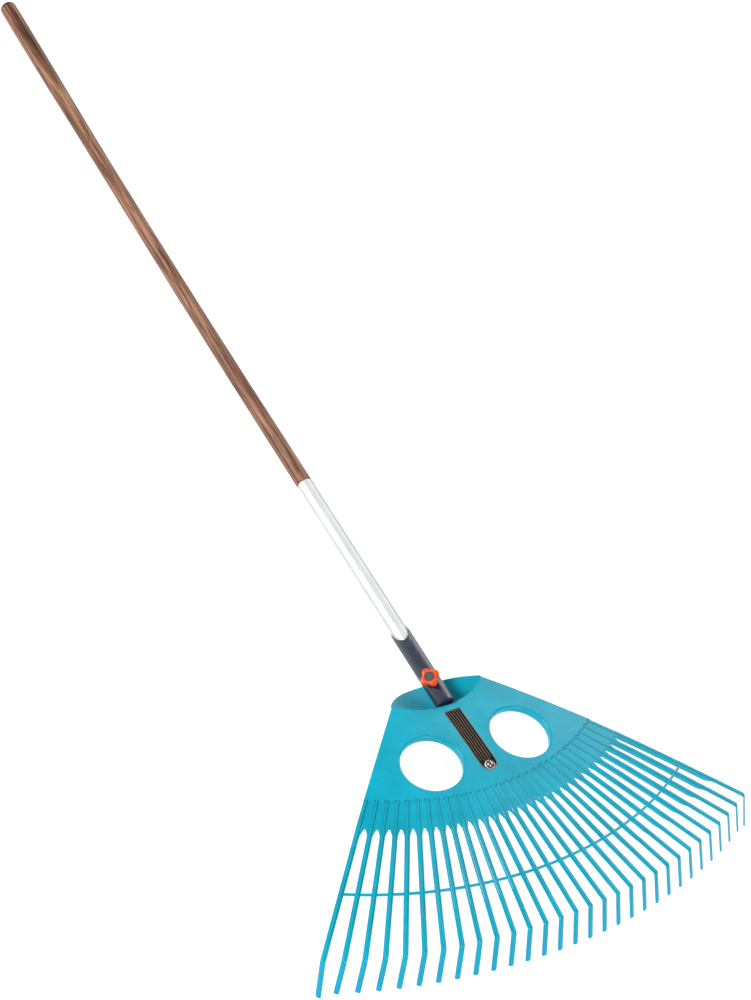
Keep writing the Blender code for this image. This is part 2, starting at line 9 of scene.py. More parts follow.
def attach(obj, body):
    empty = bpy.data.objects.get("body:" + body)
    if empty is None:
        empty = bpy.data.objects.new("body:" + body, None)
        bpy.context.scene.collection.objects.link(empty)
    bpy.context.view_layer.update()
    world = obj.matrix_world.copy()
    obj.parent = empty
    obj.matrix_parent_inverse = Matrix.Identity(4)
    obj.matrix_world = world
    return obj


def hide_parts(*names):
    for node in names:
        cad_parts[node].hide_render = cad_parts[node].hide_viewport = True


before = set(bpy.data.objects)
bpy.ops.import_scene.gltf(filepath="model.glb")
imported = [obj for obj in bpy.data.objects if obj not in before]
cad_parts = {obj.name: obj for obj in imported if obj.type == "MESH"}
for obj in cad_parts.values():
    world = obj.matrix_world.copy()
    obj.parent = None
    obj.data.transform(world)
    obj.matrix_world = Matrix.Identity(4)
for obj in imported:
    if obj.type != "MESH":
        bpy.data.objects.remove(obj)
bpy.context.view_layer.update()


# ==== Moulded head ====
# One injection moulding in tough teal plastic. A fan-shaped panel turns into thirty
# tines with bent-down blades; a narrow rib stiffens each tine and runs up over the
# panel to a scalloped step. Behind a crease the panel drops into a scoop.

TINES = 30
PITCH = 0.051880
FAN_EDGE = 0.7645
TIP_DOWN = math.radians(12.633)
FLOOR_BELOW = 0.04502
SKIN_FALL = 0.08809
SKIN_CURL = 0.02698
SKIN_ROLL = 0.00817
STEP_ARC = (0.2651, 0.0392)
ROOT_ARC = (0.3072, 0.0437)
BEND_ARC = (0.4847, 0.1016)
CREASE_HALF = 0.0795
CREASE_CURVE = (-0.1135, 0.0290, 2.38)
LIP_CURVE = (-0.0480, -0.0345, 2.46)
LIP_DROP = 0.0300
SCOOP_DEPTH = 0.0195
PANEL_THICK = 0.0033
PAD_SUNK = 0.0012
RIB_COLUMNS = (0.0, 0.0009, 0.00135, 0.0023)
SIDE_SHARES = (0.0, 0.22, 0.34, 0.62, 0.82, 0.95, 1.0)
SIDE_DROPS = (0.0, 0.02, 0.10, 0.84, 0.90, 0.97, 1.25)
TINE_HALF = 0.0040
TINE_DEPTH = (0.0030, 0.0085)
TINE_LIFT = 0.0006
FLARE_LENGTH = 0.0125
TAPER_BEFORE = 0.064
TAPER_LENGTH = 0.014
BLADE_THICK = 0.0025
BLADE_BEND = math.radians(60.6)
BLADE_TURN = 1.119
HOLE_AT = (0.0781, -0.1966)
HOLE_RIM = 0.0500
HOLE_STEPS = 96
SLOT_HALF = 0.0138
SCREW_AT = -0.2317

# The head is drawn with its fan centre at the origin and is then tipped down on
# to its outer tine tips.
lie_down = Matrix.Translation((0.0, -0.47074, 0.043930)) @ Matrix.Rotation(-TIP_DOWN, 4, "X")


def noise(tree, way, scale, detail, rough=0.5, distort=0.0):
    """A cloudy pattern."""
    made = tree.nodes.new("ShaderNodeTexNoise")
    made.inputs["Scale"].default_value = scale
    made.inputs["Detail"].default_value = detail
    made.inputs["Roughness"].default_value = rough
    made.inputs["Distortion"].default_value = distort
    tree.links.new(way, made.inputs["Vector"])
    return made.outputs["Fac"]


def colour_stops(tree, pattern, stops):
    """Colours laid over a pattern."""
    made = tree.nodes.new("ShaderNodeValToRGB")
    strip = made.color_ramp
    while len(strip.elements) < len(stops):
        strip.elements.new(0.5)
    for element, (position, colour) in zip(strip.elements, stops):
        element.position = position
        element.color = (*colour, 1.0)
    tree.links.new(pattern, made.inputs["Fac"])
    return made.outputs["Color"]


def blended(tree, low, high, share, kind="MIX"):
    """One colour laid over another; each value is a number, a colour or a pattern."""
    made = tree.nodes.new("ShaderNodeMix")
    made.data_type = "RGBA"
    made.blend_type = kind
    for name, value in (("A", low), ("B", high), ("Factor", share)):
        if isinstance(value, bpy.types.NodeSocket):
            tree.links.new(value, made.inputs[name])
        else:
            made.inputs[name].default_value = value
    return made.outputs["Result"]


def uneven_gloss(tree, pattern, low, high):
    """Roughness that follows a pattern."""
    made = tree.nodes.new("ShaderNodeMapRange")
    for name, value in (("From Min", 0.3), ("From Max", 0.7), ("To Min", low), ("To Max", high)):
        made.inputs[name].default_value = value
    tree.links.new(pattern, made.inputs["Value"])
    shader = tree.nodes["Principled BSDF"]
    tree.links.new(made.outputs["Result"], shader.inputs["Roughness"])


def relief(tree, pattern, strength, distance):
    """Fine bumps that follow a pattern."""
    made = tree.nodes.new("ShaderNodeBump")
    made.inputs["Strength"].default_value = strength
    made.inputs["Distance"].default_value = distance
    tree.links.new(pattern, made.inputs["Height"])
    shader = tree.nodes["Principled BSDF"]
    tree.links.new(made.outputs["Normal"], shader.inputs["Normal"])


def plastic(name, colour, roughness, tint, grain, gloss=0.26, layers=()):
    """Moulded plastic: faint colour drift, uneven gloss and a fine moulded grain."""
    finish = bpy.data.materials.new(name)
    finish.use_nodes = True
    tree = finish.node_tree
    shader = tree.nodes["Principled BSDF"]
    shader.inputs["IOR"].default_value = 1.49
    shader.inputs["Specular IOR Level"].default_value = gloss
    place = tree.nodes.new("ShaderNodeTexCoord").outputs["Object"]
    low = [c * 0.90 * t for c, t in zip(colour, tint)]
    high = [min(1.0, c * 1.08) for c in colour]
    tone = colour_stops(tree, noise(tree, place, 22.0, 5.0), [(0.30, low), (0.72, high)])
    for layer, power, worn in layers:
        where = tree.nodes.new("ShaderNodeAttribute")
        where.attribute_name = layer
        amount = tree.nodes.new("ShaderNodeMath")
        amount.operation = "POWER"
        amount.inputs[1].default_value = power
        tree.links.new(where.outputs["Fac"], amount.inputs[0])
        tone = blended(tree, tone, (*worn, 1.0), amount.outputs["Value"])
    tree.links.new(tone, shader.inputs["Base Color"])
    uneven_gloss(tree, noise(tree, place, 70.0, 8.0, 0.65), roughness - 0.07, roughness + 0.09)
    relief(tree, noise(tree, place, 1400.0, 3.0), grain, 0.0004)
    return finish


def add_piece(name, tool, finishes, body, stands_for, crisp=35.0):
    """Make a finished piece of a mesh and let it ride on its body."""
    mesh = bpy.data.meshes.new(name)
    tool.to_mesh(mesh)
    tool.free()
    mesh.shade_smooth()
    mesh.set_sharp_from_angle(angle=math.radians(crisp))
    piece = bpy.data.objects.new(name, mesh)
    bpy.context.scene.collection.objects.link(piece)
    for finish in finishes:
        mesh.materials.append(finish)
    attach(piece, body)
    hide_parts(*stands_for)


def add_to(tool, other):
    """Add another solid to a mesh without cutting either."""
    made = bpy.data.meshes.new("made")
    other.to_mesh(made)
    other.free()
    tool.from_mesh(made)
    bpy.data.meshes.remove(made)


def join_or_cut(tool, cutter, operation):
    """Join a solid to another, or cut it away, and return the result."""
    kept = bpy.data.meshes.new("kept")
    tool.to_mesh(kept)
    tool.free()
    other = bpy.data.meshes.new("other")
    cutter.to_mesh(other)
    cutter.free()
    body = bpy.data.objects.new("kept", kept)
    knife = bpy.data.objects.new("knife", other)
    for item in (body, knife):
        bpy.context.scene.collection.objects.link(item)
    step = body.modifiers.new("step", "BOOLEAN")
    step.operation = operation
    step.solver = "EXACT"
    step.object = knife
    graph = bpy.context.evaluated_depsgraph_get()
    graph.update()
    result = bmesh.new()
    result.from_mesh(body.evaluated_get(graph).to_mesh())
    for item in (body, knife):
        bpy.data.objects.remove(item, do_unlink=True)
    for mesh in (kept, other):
        bpy.data.meshes.remove(mesh)
    bmesh.ops.remove_doubles(result, verts=result.verts, dist=0.000005)
    return result


def extrude_through(tool, rings):
    """Draw a closed face and extrude it from ring to ring."""
    face = tool.faces.new([tool.verts.new(point) for point in rings[0]])
    for number, ring in enumerate(rings[1:]):
        grown = bmesh.ops.extrude_face_region(tool, geom=[face])["geom"]
        if number > 0:
            bmesh.ops.delete(tool, geom=[face], context="FACES_ONLY")
        face = [item for item in grown if isinstance(item, bmesh.types.BMFace)][0]
        for corner, point in zip(face.verts, ring):
            corner.co = point
    bmesh.ops.recalc_face_normals(tool, faces=tool.faces)


def ring_of(seat, radius, height, count):
    """Points of a ring square to a seat's third axis."""
    points = []
    for number in range(count):
        turn = 2.0 * math.pi * number / count
        points.append(seat @ Vector((radius * math.cos(turn), radius * math.sin(turn), height)))
    return points


def ease(share):
    """A smooth start and stop from 0 to 1."""
    share = max(0.0, min(1.0, share))
    return share * share * (3.0 - 2.0 * share)


def arc(pair, angle):
    """A value in the middle of the fan that grows towards its sides."""
    return pair[0] + pair[1] * angle * angle


def skin_height(x, y):
    """Height of the head's gently domed upper skin."""
    reach = math.hypot(x, y) / 0.5
    return -SKIN_FALL * reach ** 2 + SKIN_CURL * reach ** 3 - SKIN_ROLL * (x / 0.3) ** 2


def skin_slope(radius, angle):
    """How steeply the skin climbs along a tine."""
    reach = radius / 0.5
    slope = (-2.0 * SKIN_FALL * reach + 3.0 * SKIN_CURL * reach ** 2) / 0.5
    return slope - 2.0 * SKIN_ROLL * radius * (math.sin(angle) / 0.3) ** 2


def seat_matrix(across, forward, normal, spot):
    """A frame of three axes at a spot."""
    seat = Matrix((across, forward, normal)).transposed().to_4x4()
    seat.translation = spot
    return seat


def skin_seat(x, y):
    """Frame on the skin: across, forward and square to it."""
    step = 0.0005
    rise_x = (skin_height(x + step, y) - skin_height(x - step, y)) / (2.0 * step)
    rise_y = (skin_height(x, y + step) - skin_height(x, y - step)) / (2.0 * step)
    normal = Vector((-rise_x, -rise_y, 1.0)).normalized()
    across = Vector((1.0, 0.0, 0.0))
    across = (across - normal * across.dot(normal)).normalized()
    return seat_matrix(across, normal.cross(across), normal, (x, y, skin_height(x, y)))


def tine_angle(tine):
    """Angle in the fan of a tine's middle."""
    return (tine - (TINES - 1) / 2.0) * PITCH


def on_the_outside(tine, side):
    """Whether a side of a tine is an edge of the whole fan."""
    return (tine == 0 and side < 0) or (tine == TINES - 1 and side > 0)


def outward_at(angle):
    """Level direction out from the fan's centre."""
    return Vector((math.sin(angle), -math.cos(angle), 0.0))


def column_angle(tine, column, radius):
    """Angle of one of a tine's thirteen columns, and its number counted from the middle."""
    side = column - 6
    number = abs(side)
    middle = tine_angle(tine)
    edge = FAN_EDGE - abs(middle) if on_the_outside(tine, side) else PITCH / 2.0
    if number < 4:
        turn = math.asin(RIB_COLUMNS[number] / radius)
    else:
        foot = math.asin(RIB_COLUMNS[3] / radius)
        turn = foot + (edge - foot) * (0.0, 0.36, 0.72, 1.0)[number - 3]
    return middle + math.copysign(turn, side), number


# Rows of the head from the scoop's rear lip to the tips of the tines. Each has its kind
# and a share of that stretch, or a distance in metres for the step and the flare.
REAR_ROWS = [("floor", t) for t in (0.0, 0.012, 0.035, 0.16, 0.34, 0.52, 0.70)]
REAR_ROWS += [("base", t) for t in (0.0, 0.25, 0.5, 0.75, 1.0)]
REAR_ROWS += [("wall", t) for t in (0.35, 0.7)]
REAR_ROWS += [("brow", t) for t in (0.0, 0.25, 0.5, 0.75, 1.0)]
PLATE_ROWS = [0.04, 0.09, 0.15, 0.22, 0.29, 0.36, 0.43, 0.50, 0.57, 0.64, 0.71, 0.78,
              0.84, 0.89, 0.93, 0.965]
STEP_ROWS = [-0.0011, -0.0004, 0.0002, 0.0008]
RIB_ROWS = [0.05, 0.22, 0.42, 0.62, 0.80, 0.93, 1.0]
FLARE_ROWS = [0.0012, 0.0030, 0.0054, 0.0084, FLARE_LENGTH]
SHANK_ROWS = [0.12, 0.30, 0.50, 0.70, 0.88, 1.0]
TAPER_ROWS = [0.25, 0.5, 0.75, 1.0]
BEND_ROWS = [0.0, 0.14, 0.29, 0.43, 0.57, 0.71, 0.86, 1.0]
BLADE_ROWS = [0.35, 0.70, 0.925, 0.98, 1.0]


def blend_corner(first, corner, last, share):
    """A point on a rounded corner between two ends."""
    return first.lerp(corner, share).lerp(corner.lerp(last, share), share)


def scoop_line(curve, bite):
    """Place of the crease or the rear lip, from the middle out to the sides."""
    middle, swing, power = curve
    return middle + swing * bite ** power


def scoop_point(share, kind, along):
    """A point of the scoop's upper skin (floor, base, wall or brow) and the one below it."""
    x = CREASE_HALF * share
    bite = min(1.0, abs(share))
    fade = max(0.0, 1.0 - bite * bite)
    top = Vector((x, scoop_line(CREASE_CURVE, bite), 0.0))
    top.z = skin_height(top.x, top.y)
    foot = top + Vector((0.0, 0.0012, -SCOOP_DEPTH * fade))
    lip = Vector((x, scoop_line(LIP_CURVE, bite), 0.0))
    lip.z = skin_height(lip.x, lip.y) - LIP_DROP * fade
    drop = Vector((0.0, 0.0, -PANEL_THICK))
    if kind == "floor":
        point = lip.lerp(foot, along * 0.93)
        point.z -= 0.0006 * fade * math.sin(math.pi * along)
        point.z -= 0.0007 * max(0.0, 1.0 - along / 0.03) ** 2
        return point, point + drop + Vector((0.0, -0.0008 * along, 0.0))
    if kind == "base":
        start = lip.lerp(foot, 0.90)
        finish = foot.lerp(top, 0.28)
        point = blend_corner(start, foot, finish, along)
        return point, point + drop + Vector((0.0, -0.0008 - 0.0022 * along, 0.0))
    if kind == "wall":
        point = foot.lerp(top, 0.28 + 0.60 * along)
        return point, point + drop + Vector((0.0, -0.0030, 0.0))
    start = foot.lerp(top, 0.88)
    beyond = top.y - 0.0026 * (0.3 + 0.7 * fade)
    finish = Vector((x, beyond, skin_height(x, beyond)))
    point = blend_corner(start, top, finish, along)
    return point, point + drop + Vector((0.0, -0.0030, 0.0))


def bent_blade(tine):
    """Where a tine's blade begins, how it turns down, where it points and its length."""
    angle = tine_angle(tine)
    outer = tine in (0, TINES - 1)
    outward = outward_at(angle)
    bend = arc(BEND_ARC, angle)
    knee = outward * bend
    knee.z = skin_height(knee.x, knee.y) + TINE_LIFT
    azimuth = math.copysign(math.radians(26.0), angle) if outer else angle * BLADE_TURN
    pitch_in = math.atan(skin_slope(bend, angle))
    pitch_out = pitch_in - BLADE_BEND
    way_in = outward * math.cos(pitch_in) + Vector((0.0, 0.0, math.sin(pitch_in)))
    flat = outward_at(azimuth)
    way_out = flat * math.cos(pitch_out) + Vector((0.0, 0.0, math.sin(pitch_out)))
    facing = angle * BLADE_TURN
    side = Vector((math.cos(facing), math.sin(facing), 0.0))
    side = (side - way_out * side.dot(way_out)).normalized()
    return knee, way_in, way_out, side, flat, 0.0600 if outer else 0.0546


def tine_section(tine, group, value):
    """Centre, side, normal, half width and depth of a tine at one row."""
    angle = tine_angle(tine)
    outward = outward_at(angle)
    across = Vector((math.cos(angle), math.sin(angle), 0.0))
    root = arc(ROOT_ARC, angle)
    bend = arc(BEND_ARC, angle)
    full = arc(TINE_DEPTH, angle)
    if group in ("flare", "shank", "taper"):
        if group == "flare":
            radius = root + value
        elif group == "shank":
            radius = root + FLARE_LENGTH + (bend - TAPER_BEFORE - FLARE_LENGTH - root) * value
        else:
            radius = bend - TAPER_BEFORE + TAPER_LENGTH * value
        depth = full
        if group == "taper":
            depth += (BLADE_THICK + 0.0003 - full) * ease(value)
        spot = outward * radius
        spot.z = skin_height(spot.x, spot.y) + TINE_LIFT * min(1.0, (radius - root) / 0.03)
        normal = (Vector((0.0, 0.0, 1.0)) - outward * skin_slope(radius, angle)).normalized()
        return spot, across, normal, TINE_HALF, depth
    knee, way_in, way_out, side, flat, length = bent_blade(tine)
    reach = 0.006 * math.tan(BLADE_BEND / 2.0)
    if group == "bend":
        spot = blend_corner(knee - way_in * reach, knee, knee + way_out * reach, value)
        way = way_in.lerp(way_out, value).normalized()
        sideways = across.lerp(side, value).normalized()
        width = 1.0
        depth = BLADE_THICK
    else:
        way, sideways = way_out, side
        spot = knee + way_out * (reach + (length - reach) * value)
        width = {0.98: 0.97, 1.0: 0.86}.get(value, 1.0)
        depth = BLADE_THICK * (0.85 if value == 1.0 else 1.0)
    normal = sideways.cross(way).normalized()
    if normal.dot(Vector((0.0, 0.0, 1.0)) + flat) < 0.0:
        normal.negate()
    return spot, sideways, normal, TINE_HALF * width, depth


def floor_under(y):
    """Height of the floor, seen from the untipped head."""
    return -FLOOR_BELOW + math.tan(TIP_DOWN) * y


HEAD_ROWS = [(kind, value) for kind, values in (
    ("scoop", REAR_ROWS), ("plate", PLATE_ROWS), ("step", STEP_ROWS), ("rib", RIB_ROWS),
    ("flare", FLARE_ROWS), ("shank", SHANK_ROWS), ("taper", TAPER_ROWS),
    ("bend", BEND_ROWS), ("blade", BLADE_ROWS)) for value in values]


def panel_point(tine, column, group, value):
    """A point of the panel's upper skin, and the one below it."""
    radius = 0.288
    for _ in range(2):
        angle, number = column_angle(tine, column, radius)
        radius = arc(STEP_ARC, angle)
    share = angle / FAN_EDGE
    if group == "scoop":
        return scoop_point(share, *value)
    # the step bows out between the ribs, and nicks in beside them
    bow = -0.0018 + 0.0030 * (0.0, 0.0, 0.0, 0.0, 0.62, 0.93, 1.0)[number]
    step = radius + bow
    drop = Vector((0.0, 0.0, -PANEL_THICK))
    if group == "plate":
        start = scoop_point(share, "brow", 1.0)[0]
        end = outward_at(angle).xy * (step - 0.0011)
        spot = start.xy.lerp(end, value)
        point = Vector((spot.x, spot.y, skin_height(spot.x, spot.y)))
        lean = Vector((0.0, -0.0030 * max(0.0, 1.0 - value / 0.15), 0.0))
        return point, point + drop + lean
    sunk = PAD_SUNK * (0.0, 0.0, 0.08, 1.0, 1.0, 1.0, 1.0)[number]
    if group == "step":
        radius = step + value
        fall = ease((value + 0.0004) / 0.0009)
    else:
        root = arc(ROOT_ARC, column_angle(tine, column, arc(ROOT_ARC, angle))[0])
        radius = step + 0.0008 + (root - step - 0.0008) * value
        fall = 1.0
    angle, number = column_angle(tine, column, radius)
    spot = outward_at(angle) * radius
    point = Vector((spot.x, spot.y, skin_height(spot.x, spot.y)))
    below = point + drop
    point.z -= sunk * fall
    return point, below


def tine_point(tine, column, group, value):
    """A point on a tine's upper side, and the one on its underside."""
    spot, side, normal, half, depth = tine_section(tine, group, value)
    number = abs(column - 6)
    way = math.copysign(1.0, column - 6)
    crown = min(0.0013, depth * 0.36)
    out = half * SIDE_SHARES[number] * way
    point = spot + side * out - normal * (crown * SIDE_DROPS[number])
    below = spot + side * (out * 0.87) - normal * depth
    if group == "flare":
        # the tine grows out of the panel and narrows to its own width
        angle = column_angle(tine, column, arc(ROOT_ARC, 0.0))[0]
        seam = column_angle(tine, column, arc(ROOT_ARC, angle))[0]
        panel, panel_below = panel_point(tine, column, "rib", 1.0)
        onward = outward_at(seam) * value
        part = (value / FLARE_LENGTH) ** (1.0 if on_the_outside(tine, way) else 0.72)
        point = (panel + onward).lerp(point, part)
        below = (panel_below + onward).lerp(below, part)
    if tine in (0, TINES - 1) and group == "blade" and value > 0.975:
        way_out = bent_blade(tine)[2]
        for corner in (point, below):
            level = floor_under(corner.y) + (0.0 if value == 1.0 else 0.0030)
            run = (level - corner.z) / (way_out.z - math.tan(TIP_DOWN) * way_out.y)
            corner += way_out * run
    return point, below


head = bmesh.new()
under = head.verts.layers.float_vector.new("under")
rub = head.verts.layers.float.new("rub")
painted_shade = head.verts.layers.float.new("painted_shade")
for tine in range(TINES):
    sector = bmesh.ops.create_grid(
        head, x_segments=12, y_segments=len(HEAD_ROWS) - 1, size=1.0)["verts"]
    for corner in sector:
        column = round((corner.co.x + 1.0) * 6.0)
        group, value = HEAD_ROWS[round((corner.co.y + 1.0) / 2.0 * (len(HEAD_ROWS) - 1))]
        if group in ("scoop", "plate", "step", "rib"):
            corner.co, corner[under] = panel_point(tine, column, group, value)
        else:
            corner.co, corner[under] = tine_point(tine, column, group, value)
        # painted shade along the ribs' flanks, darker on the right flank, and at the foot of the
        # step
        if group in ("rib", "flare", "shank", "taper") and abs(column - 6) in (2, 3):
            corner[painted_shade] = 0.9 if column > 6 else 0.6
        elif group == "step" and value > 0.0:
            corner[painted_shade] = 0.7
        if group == "blade":
            corner[rub] = 0.35 + 0.65 * value ** 3
        elif group == "bend":
            corner[rub] = 0.35 * value
bmesh.ops.remove_doubles(head, verts=head.verts, dist=0.00002)
skin = bmesh.ops.extrude_face_region(head, geom=list(head.faces))["geom"]
for corner in skin:
    if isinstance(corner, bmesh.types.BMVert):
        corner.co = corner[under]
bmesh.ops.dissolve_degenerate(head, edges=head.edges, dist=0.000004)
bmesh.ops.recalc_face_normals(head, faces=head.faces)

# A thickened bed under the panel carries the adapter's tongue.
bed = bmesh.new()
rings = []
for number in range(10):
    y = -0.1152 - 0.1328 * number / 9
    base = skin_height(0.0, y)
    rings.append([Vector((x, y, base + z)) for x, z in (
        (-0.0164, -0.0088), (0.0164, -0.0088), (0.0172, -0.0080), (0.0172, -0.0016),
        (-0.0172, -0.0016), (-0.0172, -0.0080))])
extrude_through(bed, rings)
head = join_or_cut(head, bed, "UNION")

TONGUE_START = -0.1250
TONGUE_ROUND = -0.2265


def slice_on_skin(y, x_low, x_high, low, high):
    """Four corners of a slice across the head's middle, with heights from its skin."""
    base = skin_height(0.0, y)
    return [Vector((x_low, y, base + low)), Vector((x_high, y, base + low)),
            Vector((x_high, y, base + high)), Vector((x_low, y, base + high))]


def round_end(half):
    """Places and half widths down the tongue's round end."""
    turns = [math.radians(angle) for angle in (12, 24, 36, 48, 58, 67, 75, 82, 88)]
    return [(TONGUE_ROUND - half * math.sin(turn), half * math.cos(turn)) for turn in turns]


# two hand holes, and the slot that the tongue lies in
cuts = bmesh.new()
for side in (-1.0, 1.0):
    seat = skin_seat(side * HOLE_AT[0], HOLE_AT[1])
    extrude_through(cuts, [ring_of(seat, HOLE_RIM, height, HOLE_STEPS)
                           for height in (-0.02, 0.02)])
slot_ends = [(-0.1060, SLOT_HALF, -0.0024), (TONGUE_START, SLOT_HALF, -0.0024),
             (TONGUE_START - 0.00001, SLOT_HALF, 0.0100)]
slot_ends += [(TONGUE_START - 0.1015 * n / 6, SLOT_HALF, 0.0100) for n in range(1, 7)]
slot_ends += [(y, half, 0.0100) for y, half in round_end(SLOT_HALF)]
extrude_through(cuts, [slice_on_skin(y, -half, half, -0.0062, top) for y, half, top in slot_ends])
head = join_or_cut(head, cuts, "DIFFERENCE")

# Each hand hole has a rounded rim and a collar that hangs below the panel.
for side in (-1.0, 1.0):
    seat = skin_seat(side * HOLE_AT[0], HOLE_AT[1])
    outline = [(0.0463, -0.0112), (0.0463, -0.0036), (0.0464, -0.0027), (0.0467, -0.0018),
               (0.0472, -0.0011), (0.0479, -0.0005), (0.0488, -0.0001), (HOLE_RIM, 0.0),
               (0.0506, -0.0001), (0.0506, -0.0024), (0.0498, -0.0030), (0.0493, -0.0038),
               (0.0493, -0.0112), (0.0489, -0.0117), (0.0467, -0.0117)]
    collar = bmesh.new()
    corners = [collar.verts.new((radius, 0.0, height)) for radius, height in outline]
    edges = [collar.edges.new((corners[n - 1], corners[n])) for n in range(len(corners))]
    bmesh.ops.spin(collar, geom=corners + edges, cent=(0, 0, 0), axis=(0, 0, 1),
                   angle=2.0 * math.pi, steps=HOLE_STEPS, use_merge=True)
    bmesh.ops.remove_doubles(collar, verts=collar.verts, dist=0.000005)
    for corner in collar.verts:
        follow = ease((corner.co.z + 0.010) / 0.006)
        flat = seat @ Vector((corner.co.x, corner.co.y, 0.0))
        lift = skin_height(flat.x, flat.y) - flat.z
        corner.co = seat @ corner.co + Vector((0.0, 0.0, lift * follow))
    bmesh.ops.recalc_face_normals(collar, faces=collar.faces)
    add_to(head, collar)
bmesh.ops.transform(head, matrix=lie_down, verts=head.verts)

# the blades are rubbed paler; painted shade darkens the corners beside ribs and step, more on the
# ribs' right flanks
teal = plastic("teal_plastic", (0.001, 0.286, 0.395), 0.32, (1.0, 0.97, 0.96), 0.02, layers=(
    ("rub", 1.0, (0.001, 0.292, 0.49)), ("painted_shade", 3.0, (0.001, 0.115, 0.175))))
tine_names = ["tine_%02d" % number for number in range(1, TINES + 1)]
add_piece("rake_head", head, [teal], "head", ["head_panel"] + tine_names, 32.0)


# ==== Crossbar ====
# A thin bar moulded through all the tines keeps their spacing. Its plain shape is
# already right, so it only takes the head's plastic.

def dress(node, finish):
    """Give a plain shape its finish."""
    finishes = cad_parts[node].data.materials
    finishes.clear()
    finishes.append(finish)


dress("crossbar", teal)


# ==== Adapter ====
# A sleeve, scooped out at its mouth, with a ribbed tongue that screws into the head.
# One dark glass-filled moulding; a flat runs down its upper side under the knob.

HANDLE_SLOPE = math.radians(10.148)
KNOB_ROLL = math.radians(28.0)
SLEEVE_RADIUS = 0.0146
MOUTH_HALF = 0.0138
MOUTH_DEPTH = 0.0236
TONGUE_HALF = 0.0135
TONGUE_UNDER = -0.0059
KNOB_AT = -0.0720
along = Vector((0.0, math.cos(HANDLE_SLOPE), math.sin(HANDLE_SLOPE)))
upright = Vector((0.0, -math.sin(HANDLE_SLOPE), math.cos(HANDLE_SLOPE)))
sideways = Vector((1.0, 0.0, 0.0))
knob_way = upright * math.cos(KNOB_ROLL) - sideways * math.sin(KNOB_ROLL)
knob_side = sideways * math.cos(KNOB_ROLL) + upright * math.sin(KNOB_ROLL)
axis_start = Vector((0.0, 0.0, 0.01164))
# third axis along the handle, second axis towards the knob
bore_seat = seat_matrix(-knob_side, knob_way, along, axis_start)
knob_seat = seat_matrix(knob_side, along, knob_way, axis_start + along * KNOB_AT)


def turned(seat, outline, steps):
    """A turned solid: (radius, height) pairs spun about a seat's third axis."""
    lathe = bmesh.new()
    corners = [lathe.verts.new((radius, 0.0, height)) for radius, height in outline]
    edges = [lathe.edges.new((corners[n], corners[n + 1])) for n in range(len(corners) - 1)]
    if outline[0][0] > 0.0:
        edges.append(lathe.edges.new((corners[-1], corners[0])))
    bmesh.ops.spin(lathe, geom=corners + edges, cent=(0, 0, 0), axis=(0, 0, 1),
                   angle=2.0 * math.pi, steps=steps, use_merge=True)
    bmesh.ops.remove_doubles(lathe, verts=lathe.verts, dist=0.000002)
    bmesh.ops.recalc_face_normals(lathe, faces=lathe.faces)
    bmesh.ops.transform(lathe, matrix=seat, verts=lathe.verts)
    return lathe


sleeve = turned(bore_seat, [
    (0.0, -0.1104), (0.0112, -0.1104), (0.0118, -0.1112), (0.0124, -0.1117),
    (0.0136, -0.1118), (0.0142, -0.1115), (SLEEVE_RADIUS, -0.1106),
    (SLEEVE_RADIUS, 0.0286), (0.0144, 0.0292), (0.0133, 0.0292), (0.01305, 0.0288),
    (0.01305, -0.1040), (0.0, -0.1040)], 96)
flat_cut = bmesh.new()
extrude_through(flat_cut, [[bore_seat @ Vector((x, y, s)) for x, y in (
    (-0.012, 0.01372), (0.012, 0.01372), (0.012, 0.022), (-0.012, 0.022))]
    for s in (-0.130, 0.040)])
sleeve = join_or_cut(sleeve, flat_cut, "DIFFERENCE")
boss = turned(knob_seat, [(0.0, 0.0134), (0.0104, 0.0134), (0.0098, 0.0142), (0.0095, 0.0150),
                          (0.0095, 0.0180), (0.0090, 0.0185), (0.0, 0.0185)], 64)
sleeve = join_or_cut(sleeve, boss, "UNION")
mouth = bmesh.new()
turns = [2.0 * math.pi * n / 72 for n in range(72)]
extrude_through(mouth, [[bore_seat @ Vector((MOUTH_HALF * math.cos(turn), height,
                                             0.0294 + MOUTH_DEPTH * math.sin(turn)))
                         for turn in turns] for height in (-0.03, 0.03)])
sleeve = join_or_cut(sleeve, mouth, "DIFFERENCE")


def bar_on_skin(tool, x_low, x_high, y_first, y_last, low, high, count):
    """A straight bar that follows the skin down the middle of the head."""
    places = [y_first + (y_last - y_first) * number / (count - 1) for number in range(count)]
    extrude_through(tool, [slice_on_skin(y, x_low, x_high, low, high) for y in places])


neck = bmesh.new()
bar_on_skin(neck, -TONGUE_HALF, TONGUE_HALF, -0.1060, -0.1262, TONGUE_UNDER, -0.0027, 6)
sleeve = join_or_cut(sleeve, neck, "UNION")


def tongue_rings(inset, low, high):
    """The tongue's outline, square at the neck and round at the screw."""
    half = TONGUE_HALF - inset
    first = -0.1255 - inset
    ends = [(first + (TONGUE_ROUND - first) * n / 8, half) for n in range(9)]
    ends += round_end(half)
    return [slice_on_skin(y, -wide, wide, low, high) for y, wide in ends]


tongue = bmesh.new()
extrude_through(tongue, tongue_rings(0.0, TONGUE_UNDER, 0.0002))
well = bmesh.new()
extrude_through(well, tongue_rings(0.0011, -0.0020, 0.0050))
tongue = join_or_cut(tongue, well, "DIFFERENCE")
for number in range(1, 6):
    rib_at = -0.01295 + 0.0259 * number / 6.0
    last = -0.2210 if abs(number - 3) == 2 else -0.2232
    bar_on_skin(tongue, rib_at - 0.0004, rib_at + 0.0004, -0.1262, last, -0.0024, 0.0000, 9)
skin_at_screw = skin_seat(0.0, SCREW_AT)
add_to(tongue, turned(skin_at_screw, [(0.0, -0.0030), (0.0084, -0.0030), (0.0084, -0.0012),
                                      (0.0, -0.0012)], 48))
add_to(sleeve, tongue)
bmesh.ops.recalc_face_normals(sleeve, faces=sleeve.faces)
